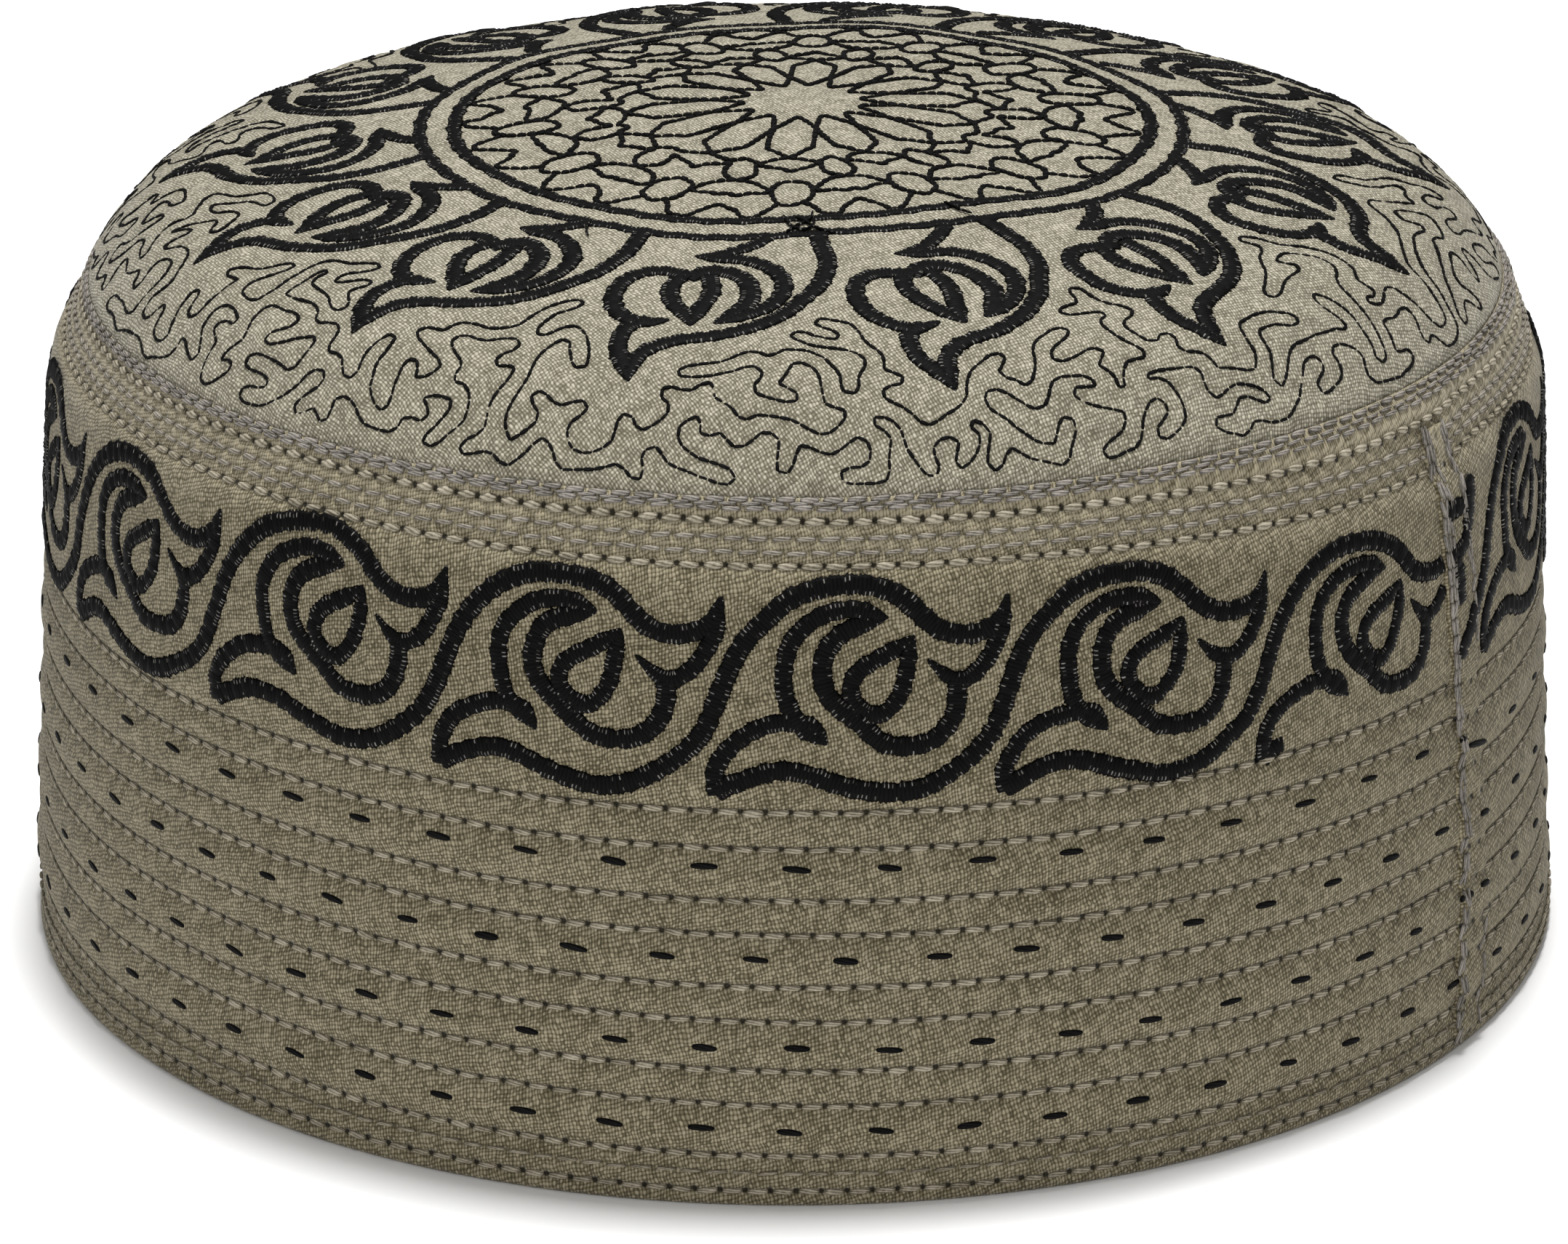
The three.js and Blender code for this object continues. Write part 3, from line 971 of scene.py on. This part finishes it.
scroll = SatinWork()
for number in range(len(swing_tops)):
    for half, start_tip, end_tip, chart in scroll_strokes:
        hand = np.asarray(chart) + chance.normal(0, 0.07, (len(chart), 2))
        line = soft_curve(np.stack(scroll_place(number, hand), -1), satin_thread / mm / 2, softness=1.2)
        height = line[:, 1] * mm + dip_at(line[:, 0] / chart_radius, line[:, 1] * mm) * 0.4
        lap_middle, lap_half = lap_course_at(height)
        keep = (line[:, 0] > lap_middle + lap_half) & (line[:, 0] < turn_mm + lap_middle - lap_half)
        if keep.sum() < 6:
            continue
        scroll.ribbon(
            line[keep, 0] / chart_radius, reach_of_height(height[keep]), half * mm,
            start_tip * mm * keep[0], end_tip * mm * keep[-1], lift=chance.uniform(0.9, 1.1),
        )
scroll.piece("scroll_embroidery")

# Scraps of the scroll. Short lengths of the same black satin stitch show on the lap, cut
# through when the strip was closed.
lap_scraps = [
    # half width, and places along the side with their heights, in millimetres
    (1.35, [(85.5, 66.3), (87.4, 66.4), (89.6, 66.1)]),
    (1.25, [(86.0, 61.5), (87.7, 61.2), (89.5, 61.9), (90.5, 63.8)]),
    (1.35, [(90.0, 63.2), (90.8, 65.2), (91.2, 67.4), (91.2, 69.2)]),
    (1.3, [(87.2, 61.0), (88.0, 58.8), (88.4, 56.6), (88.3, 54.6)]),
    (1.35, [(88.7, 47.9), (89.3, 49.4), (90.6, 50.6), (91.6, 52.2), (92.1, 53.9)]),
]
scraps = SatinWork()
for half, scrap in lap_scraps:
    line = soft_curve(scrap, satin_thread / mm / 2)
    bearing = line[:, 0] / chart_radius
    reach = reach_of_height(line[:, 1] * mm)
    scraps.ribbon(bearing, reach, half * mm, 0.5 * mm, 0.5 * mm, under=lap_thickness)
scraps.piece("lap_scraps")

# Ring and leaves on the crown. Two satin rings frame the medallion, and fourteen curled
# leaves grow from the outer one. Chart places are degrees from the leaf's tip and
# millimetres from the middle of the medallion, which sits a little off the cap's own.
medallion_middle = (1.1 * mm, 1.1 * mm)
inner_ring = [
    # bearing in degrees, radius in millimetres
    (-180, 38.6), (-135, 38.6), (-112, 39.6), (-90, 41.2), (-67, 41.8), (-45, 41.9), (-22, 41.5),
    (-5, 40.8), (12, 39.4), (25, 39.3), (45, 41.2), (67, 41.3), (90, 41.0), (112, 39.7), (135, 38.4),
    (157, 38.4), (180, 38.6),
]
ring_apart = 4.0
leaf_bearings = [-167.4, -141.7, -116, -90, -64.6, -39.6, -14.0, 11.5, 37.7, 64, 90, 115.4, 141, 166.8]
leaf_strokes = [
    # half width, start tip, end tip, points
    (1.25, 0, 3.0, [
        (15.8, 43.2), (16.4, 46.6), (16.9, 49.5), (17.0, 51.6), (16.6, 54.1), (15.8, 56.6), (14.3, 59.1),
        (12.9, 61.6), (11.4, 63.7), (9.8, 65.5), (7.7, 67.0), (5.7, 68.2), (3.2, 69.1), (1.3, 70.4),
        (0.3, 72.2), (-0.1, 74.2), (0.0, 76.6),
    ]),
    (1.25, 2.5, 0, [
        (0.0, 76.6), (-1.0, 74.1), (-2.0, 72.0), (-2.5, 69.9), (-2.4, 67.8), (-1.7, 66.3), (-0.6, 65.6),
    ]),
    (1.25, 2.2, 0, [
        (1.2, 65.1), (-0.6, 65.9), (-2.0, 66.0), (-3.8, 64.9), (-5.4, 62.8), (-6.1, 60.3), (-6.25, 58.2),
        (-5.8, 56.2), (-4.4, 54.7), (-2.5, 54.1), (-0.5, 54.4), (1.0, 55.4),
    ]),
    (1.4, 0, 2.5, [
        (0.6, 55.6), (1.2, 54.3), (2.4, 53.3), (4.0, 53.0), (6.0, 53.8), (7.6, 55.3), (8.4, 57.4),
        (8.5, 59.5), (8.0, 61.6), (7.2, 63.2), (5.7, 65.2),
    ]),
    (1.15, 0, 2.5, [(9.6, 44.0), (8.15, 45.75), (6.1, 47.4), (4.45, 48.6), (2.8, 49.4), (0.1, 49.9)]),
    (1.25, 2.5, 2.5, [
        (0.1, 49.9), (3.4, 50.1), (6.0, 50.2), (8.2, 50.9), (10.2, 52.4), (11.6, 54.5), (12.0, 57.0),
        (11.4, 59.5), (10.2, 61.6), (8.4, 63.3), (5.7, 65.2),
    ]),
    (1.25, 0, 2.8, [
        (-0.2, 55.0), (-0.5, 56.4), (-0.7, 57.9), (-0.1, 59.9), (1.1, 62.0), (2.4, 63.7), (3.4, 66.0),
    ]),
    (1.25, 0, 2.8, [(3.2, 54.4), (4.0, 57.4), (3.9, 59.9), (3.6, 62.4), (3.4, 66.0)]),
]


def ring_radius(bearing):
    """Radius of the inner ring in millimetres, drawn by hand and so not quite round."""
    turn = np.degrees(np.mod(np.asarray(bearing) + math.pi, 2 * math.pi) - math.pi)
    degrees, radii = np.array(inner_ring).T
    around = [np.mod(turn + shift + 180, 360) - 180 for shift in (-9, -4, 0, 4, 9)]
    return sum(np.interp(place, degrees, radii) for place in around) / len(around)


def from_medallion(bearing, radius_mm):
    """Bearing and reach on the cap of a point given round the middle of the medallion."""
    x = medallion_middle[0] + radius_mm * mm * np.sin(bearing)
    y = medallion_middle[1] - radius_mm * mm * np.cos(bearing)
    return np.arctan2(x, -y), reach_of_radius(np.hypot(x, y))


leaves = SatinWork()
mid_leaf = 58.0
for tip in leaf_bearings:
    tilt = chance.normal(0, 0.006)
    size = chance.normal(1, 0.01)
    for half, start_tip, end_tip, chart in leaf_strokes:
        hand = np.asarray(chart) + chance.normal(0, 0.07, (len(chart), 2))
        flat = np.stack([np.radians(hand[:, 0]) * mid_leaf, hand[:, 1]], -1)
        line = soft_curve(flat, satin_thread / mm / 2, softness=1.1)
        bearing = math.radians(tip) + line[:, 0] / mid_leaf + tilt * (line[:, 1] - 46) / 30
        radius = np.where(line[:, 1] > 46, mid_leaf + (line[:, 1] - mid_leaf) * size, line[:, 1])
        keep = radius > ring_radius(bearing) + ring_apart
        leaves.ribbon(
            *from_medallion(bearing[keep], radius[keep]), half * mm, start_tip * mm, end_tip * mm,
            lift=chance.uniform(0.9, 1.1),
        )
ring_points = 1200
ring_bearings = np.arange(ring_points) * 2 * math.pi / ring_points
for apart, half in ((0.0, 0.95), (ring_apart, 0.9)):
    wander = 0.1 * np.sin(ring_bearings * 9 + apart) + 0.12 * np.sin(ring_bearings * 67)
    radius = ring_radius(ring_bearings) + apart + wander
    leaves.ribbon(*from_medallion(ring_bearings, radius), half * mm, lift=0.85, closed=True)
leaves.piece("leaf_embroidery")

# Loose threads. A few ends of black embroidery thread were left untrimmed, most of them
# across the gap between the two rings.
loose_threads = [
    # degrees round from the front and millimetres from the middle
    [(-3.4, 39.8), (-2.2, 42.3), (-0.2, 43.8), (1.3, 42.7), (1.7, 40.4)],
    [(-1.4, 40.4), (0.5, 42.0), (2.6, 43.9), (4.6, 44.6)],
    [(-2.7, 44.4), (-0.8, 42.5), (1.0, 41.1), (1.5, 38.7)],
    [(-31.8, 45.6), (-30.9, 47.6), (-29.4, 49.2)],
    [(24.0, 38.8), (24.9, 41.0), (26.3, 42.7)],
]
loose = SatinWork()
for thread in loose_threads:
    line = soft_curve(thread, 0.5)
    bearing, reach = from_medallion(np.radians(line[:, 0]), line[:, 1])
    loose.ribbon(bearing, reach, 0.16 * mm, 0.3 * mm, 0.3 * mm, under=0.25 * mm)
loose.piece("loose_threads")


# Medallion. A tiler's star pattern of petals, stars and hexagons, fourteen times round,
# in a bold black running stitch. The chart is half of one part, in degrees from the line
# between two petals and in millimetres from the middle.
parts_round = 14
half_part = 180 / parts_round
first_part = 8.0
chart_ring = 38.8
chart_middle = 25
part_lines = [
    # petal foot, side and end
    [(half_part, 6.5), (8, 7.3), (4, 8.7), (0, 10.6)],
    [(0, 10.6), (1.5, 12.5), (3.2, 15), (4.5, 17.2)],
    [(4.5, 17.2), (7.5, 17.6), (9.5, 18.7), (half_part, 19.8)],
    # star under the petals
    [(0, 20.3), (2, 20.9), (3.7, 21.8), (7, 20.8), (half_part, 19.8)],
    [(3.7, 21.8), (4.4, 24.3), (3.6, 25.6), (1.5, 26.4), (0, 26.9)],
    [(3.7, 21.8), (6.8, 22.6), (10.6, 23), (half_part, 24.3)],
    # blocks and hexagons
    [(0, 26.9), (4, 27.2), (6.5, 28.4), (8.6, 30.2)],
    [(0, 30.6), (2, 31.3), (4, 30.7), (6.2, 30.9), (8.6, 30.2)],
    [(half_part, 27.4), (10, 27.9), (8.8, 28.9), (8.6, 30.2), (9, 32.6), (10.4, 33.9), (half_part, 34.6)],
    # scalloped border
    [(0, 33.6), (1.5, 34.4), (3.5, 35.6), (4.5, 37.5), (6.2, 37.7), (7.6, 37), (8.8, 35.3), (10.4, 33.9)],
]
crown_stitches = []


def run_of_stitches(bearing, radius_mm, step, width, sink, share=0.51):
    """Running stitches end to end along a line on the crown, sunk into the cloth.

    share is half a stitch's length as a share of the way between two needle holes."""
    points, normals = on_cap(*from_medallion(bearing, radius_mm), -sink)
    gone = np.concatenate([[0], np.cumsum(np.linalg.norm(np.diff(points, axis=0), axis=1))])
    count = max(1, int(round(gone[-1] / step)))
    even = np.linspace(0, gone[-1], count + 1)
    knots = np.stack([np.interp(even, gone, points[:, i]) for i in range(3)], 1)
    knots[1:-1] += chance.normal(0, 0.05 * mm, (max(0, count - 1), 3))
    middle = 0.5 * (knots[1:] + knots[:-1])
    along = knots[1:] - knots[:-1]
    out = np.stack([np.interp(0.5 * (even[1:] + even[:-1]), gone, normals[:, i]) for i in range(3)], 1)
    half = 0.5 * width * chance.normal(1, 0.08, count)
    size = np.stack([share * np.linalg.norm(along, axis=1), half, 0.8 * half], -1)
    crown_stitches.append(np.vstack([knots, middle]))
    return middle, along, out, size


medallion_runs = []
for part in range(parts_round):
    for mirror in (-1, 1):
        for chart in part_lines:
            chart = np.asarray(chart, float)
            hand = chance.normal(0, 0.28, chart.shape) * (0.6, 1.0)
            hand[[0, -1]] = 0
            chart = chart + hand
            steps = np.hypot(np.radians(np.diff(chart[:, 0])) * chart_middle, np.diff(chart[:, 1]))
            gone = np.concatenate([[0], np.cumsum(steps)])
            even = np.linspace(0, gone[-1], max(6, int(gone[-1] / 0.25)))
            degrees = np.interp(even, gone, chart[:, 0])
            radius = np.interp(even, gone, chart[:, 1])
            turn = first_part + part * 2 * half_part + 2.5 * smooth_step(radius, 18, 30)
            bearing = np.radians(turn + mirror * degrees)
            radius = radius * ring_radius(bearing) / chart_ring
            medallion_runs.append(run_of_stitches(bearing, radius, 1.2 * mm, 0.82 * mm, 0.18 * mm))
sewn("medallion_stitching", medallion_runs, threads["black"], pinch=-0.3)


# Wandering line. One fine black running stitch fills the crown outside the leaves, never
# crossing itself. Its path is the edge of fingers that branch like bare trees.
def inside_outline(x, y, outline):
    """Whether each place is inside a closed outline."""
    within = np.zeros(x.shape, bool)
    for (x0, y0), (x1, y1) in zip(outline, np.roll(outline, -1, 0)):
        crosses = (y0 > y) != (y1 > y)
        where = x0 + (y - y0) * (x1 - x0) / (y1 - y0 + 1e-12)
        within ^= crosses & (x < where)
    return within


def cloth_to_medallion(x, y):
    """Bearing and radius in millimetres round the medallion of places on the flat crown cloth."""
    away = np.hypot(x, y)
    bearing = np.arctan2(x, -y)
    radius = np.interp(whole_reach - away * mm, section_reach, section[:, 0])
    off_x = radius * np.sin(bearing) - medallion_middle[0]
    off_y = -radius * np.cos(bearing) - medallion_middle[1]
    return np.arctan2(off_x, -off_y), np.hypot(off_x, off_y) / mm


def room_for_fingers(x, y):
    """Distance in millimetres that a place on the flat crown cloth is inside the free ground."""
    bearing, radius = cloth_to_medallion(x, y)
    petal = np.array(leaf_strokes[2][3])[2:]
    outline = np.vstack([leaf_strokes[0][3], leaf_strokes[1][3], petal, [(0.6, 49.5), (9.6, 43.0)]])
    scale = np.array((math.radians(mid_leaf), 1.0))
    stroke = soft_curve(outline * scale, 1.0) / scale
    room = np.minimum(radius - 55, crown_reach / mm - 1.1 - np.hypot(x, y))
    for tip in leaf_bearings:
        turn = np.mod(np.degrees(bearing) - tip + 180, 360) - 180
        room = np.where(inside_outline(turn, radius, outline), -9.0, room)
        for degrees, out in stroke:
            room = np.minimum(room, np.hypot(np.radians(turn - degrees) * radius, radius - out) - 2.4)
    return room


def finger_field(cells=400, apart=3.2, finger=1.02):
    """A field that is above nought on fingers which branch like bare trees.

    Knots are thrown at random, at least apart millimetres from one to the next. They are
    joined in random order, never into a loop, and each join is thickened to a finger."""
    number = np.random.default_rng(3)
    half = crown_reach / mm + 4
    thrown = number.uniform(-half, half, (36000, 2))
    thrown = thrown[room_for_fingers(*thrown.T) > finger - 0.2]
    knots = thrown[:1]
    for knot in thrown[1:]:
        if np.min(np.hypot(*(knots - knot).T)) > apart:
            knots = np.vstack([knots, knot])
    gaps = np.hypot(*(knots[:, None] - knots[None]).transpose(2, 0, 1))
    pairs = np.argwhere(np.triu(gaps < 1.6 * apart, 1))
    middles = 0.5 * (knots[pairs[:, 0]] + knots[pairs[:, 1]])
    pairs = pairs[room_for_fingers(*middles.T) > finger - 0.5]
    tree = np.arange(len(knots))
    spot = np.linspace(-half, half, cells, endpoint=False)
    x, y = np.meshgrid(spot, spot, indexing="ij")
    away = np.full(x.shape, 9.0)
    for first, second in pairs[np.argsort(number.random(len(pairs)) + 0.25 * gaps[tuple(pairs.T)])]:
        if tree[first] == tree[second]:
            continue
        tree[tree == tree[second]] = tree[first]
        start, step = knots[first], knots[second] - knots[first]
        low = np.searchsorted(spot, np.minimum(start, start + step) - 3)
        high = np.searchsorted(spot, np.maximum(start, start + step) + 3)
        window = (slice(low[0], high[0]), slice(low[1], high[1]))
        off = np.stack([x[window], y[window]], -1) - start
        share = np.clip(off @ step / (step @ step), 0, 1)
        away[window] = np.minimum(away[window], np.linalg.norm(off - share[..., None] * step, axis=-1))
    swell = 0.16 * np.sin(0.9 * x + 1.3 * np.sin(0.5 * y)) * np.sin(0.8 * y + 1.1 * np.sin(0.6 * x))
    return spot, finger + swell - away


def edge_lines(spot, field):
    """Lines where the field is nought, joined end to end from cell to cell."""
    sign = field > 0
    links, places = {}, {}
    mixed = sign[:-1, :-1].astype(int) + sign[1:, :-1] + sign[:-1, 1:] + sign[1:, 1:]
    for i, j in zip(*np.nonzero((mixed > 0) & (mixed < 4))):
        corners = [(i, j), (i + 1, j), (i + 1, j + 1), (i, j + 1)]
        cut = []
        for a, b in zip(corners, corners[1:] + corners[:1]):
            if sign[a] != sign[b]:
                key = (min(a, b), max(a, b))
                share = field[key[0]] / (field[key[0]] - field[key[1]])
                ends = np.array([(spot[p], spot[q]) for p, q in key])
                places[key] = ends[0] + (ends[1] - ends[0]) * share
                cut.append(key)
        for a, b in zip(cut[::2], cut[1::2]):
            links.setdefault(a, []).append(b)
            links.setdefault(b, []).append(a)
    lines = []
    waiting = set(links)
    for start in sorted(links):
        if start not in waiting:
            continue
        line = [start]
        waiting.discard(start)
        while True:
            ahead = [key for key in links[line[-1]] if key in waiting]
            if not ahead:
                break
            line.append(ahead[0])
            waiting.discard(ahead[0])
        line.append(start)
        lines.append(np.array([places[key] for key in line]))
    return lines


spot, field = finger_field()
wander_runs = []
for line in edge_lines(spot, field):
    length = np.hypot(*np.diff(line, axis=0).T).sum()
    if length < 24:
        continue
    for _ in range(9):
        ahead = np.vstack([line[1:], line[1]])
        behind = np.vstack([line[-2], line[:-1]])
        line = 0.25 * ahead + 0.5 * line + 0.25 * behind
    bearing, radius = cloth_to_medallion(*line.T)
    wander_runs.append(run_of_stitches(bearing, radius, 1.2 * mm, 0.5 * mm, 0.2 * mm, share=0.56))
sewn("wandering_line", wander_runs, threads["black"], sides=5, rings=4, pinch=-0.6)


# Crown. A single round of the same cotton over a stiff lining, cut turned on its grain,
# pulled down along every stitched line and sewn to the top of the side.
crown_wall = 2.2 * mm
crown_sides = 360
crown_edge = seam_reach + 0.05 * mm
crown_outside = [crown_edge + step * mm for step in (0.0, 0.4, 0.8, 1.4)]
crown_outside += list(np.arange(crown_edge + 2 * mm, whole_reach - 1 * mm, 1.0 * mm))
crown_inside = [crown_edge] + list(np.arange(crown_edge + 3 * mm, whole_reach - 3 * mm, 4 * mm))
crown_stations = [(reach, 0.0, 1) for reach in reversed(crown_outside)]
crown_stations += [(crown_edge, -1.2 * mm, 0)] + [(reach, -crown_wall, 0) for reach in crown_inside]
crown_shell = ring_shell(crown_stations, crown_sides, closed=False)
crown_points, crown_faces, crown_turn, crown_face_reach = crown_shell
crown_span = 2.2 * crown_reach


def pull_down(points, deepest, spread):
    """Depth that each point is drawn in by the stitches near it."""
    cell = 0.5 * mm
    reach = int(2.5 * spread / cell) + 1
    half_cells = int(seam_radius / cell) + reach + 2
    depth = np.zeros((2 * half_cells + 1, 2 * half_cells + 1))
    places = np.vstack(crown_stitches)[:, :2]
    home = np.round(places / cell).astype(int)
    for dx in range(-reach, reach + 1):
        for dy in range(-reach, reach + 1):
            spot = home + (dx, dy)
            away = np.hypot(*(spot * cell - places).T)
            np.maximum.at(depth, tuple((spot + half_cells).T), np.exp(-((away / spread) ** 2)))
    column = np.clip(points[:, :2] / cell + half_cells, 0, 2 * half_cells - 1.001)
    low = np.floor(column).astype(int)
    u, v = (column - low).T
    i, j = low.T
    near = depth[i, j] * (1 - u) * (1 - v) + depth[i + 1, j] * u * (1 - v)
    return deepest * (near + depth[i, j + 1] * (1 - u) * v + depth[i + 1, j + 1] * u * v)


outside_points = np.tile(np.array([station[2] for station in crown_stations]), crown_sides) > 0
crown_points[outside_points, 2] -= pull_down(crown_points[outside_points], 0.3 * mm, 0.9 * mm)
top_middle, _ = on_cap(0.0, whole_reach)
under_middle, _ = on_cap(0.0, whole_reach, -crown_wall)
crown_points = np.vstack([crown_points, top_middle * (0, 0, 1), under_middle * (0, 0, 1)])
rings = len(crown_stations)
here = np.arange(crown_sides)
first_ring = here * rings
next_ring = (here + 1) % crown_sides * rings
top_fan = np.stack([first_ring, next_ring, np.full(crown_sides, len(crown_points) - 2)], -1)
under_fan = np.stack([next_ring, first_ring, np.full(crown_sides, len(crown_points) - 1)], -1)
under_fan[:, :2] += rings - 1


def crown_place(turn_share, away):
    """Place on the crown's cloth at a share of a turn and a distance from its middle."""
    bearing = turn_share * 2 * math.pi - math.pi
    off_middle = np.stack([away * np.sin(bearing), -away * np.cos(bearing)], -1)
    return 0.5 + off_middle / crown_span


fan_turn = np.stack([here, here + 1, here], -1) / crown_sides
fan_away = np.tile([whole_reach - crown_stations[0][0]] * 2 + [0.0], (crown_sides, 1))
crown_places = np.concatenate([
    crown_place(crown_turn[:, ::-1], whole_reach - crown_face_reach[:, ::-1]).reshape(-1, 2),
    crown_place(fan_turn, fan_away).reshape(-1, 2),
    crown_place(fan_turn[:, [1, 0, 2]], fan_away).reshape(-1, 2),
])
# The crown's colours are paler than the side's: partly the cloth's own tone, partly painted light for the
# crown's sheen and the stronger light from above.
crown_cloth = cloth_finish(
    "khaki_crown_cotton", crown_span / mm, crown_span / mm,
    (0.112, 0.1, 0.067), (0.25, 0.23, 0.172), (0.51, 0.475, 0.375), turn=math.radians(19),
)
crown = mesh_object(
    "crown_cloth",
    crown_points,
    [*crown_faces[:, ::-1].tolist(), *top_fan.tolist(), *under_fan.tolist()],
    crown_cloth,
    crown_places,
)
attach(crown, "root")
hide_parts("crown")
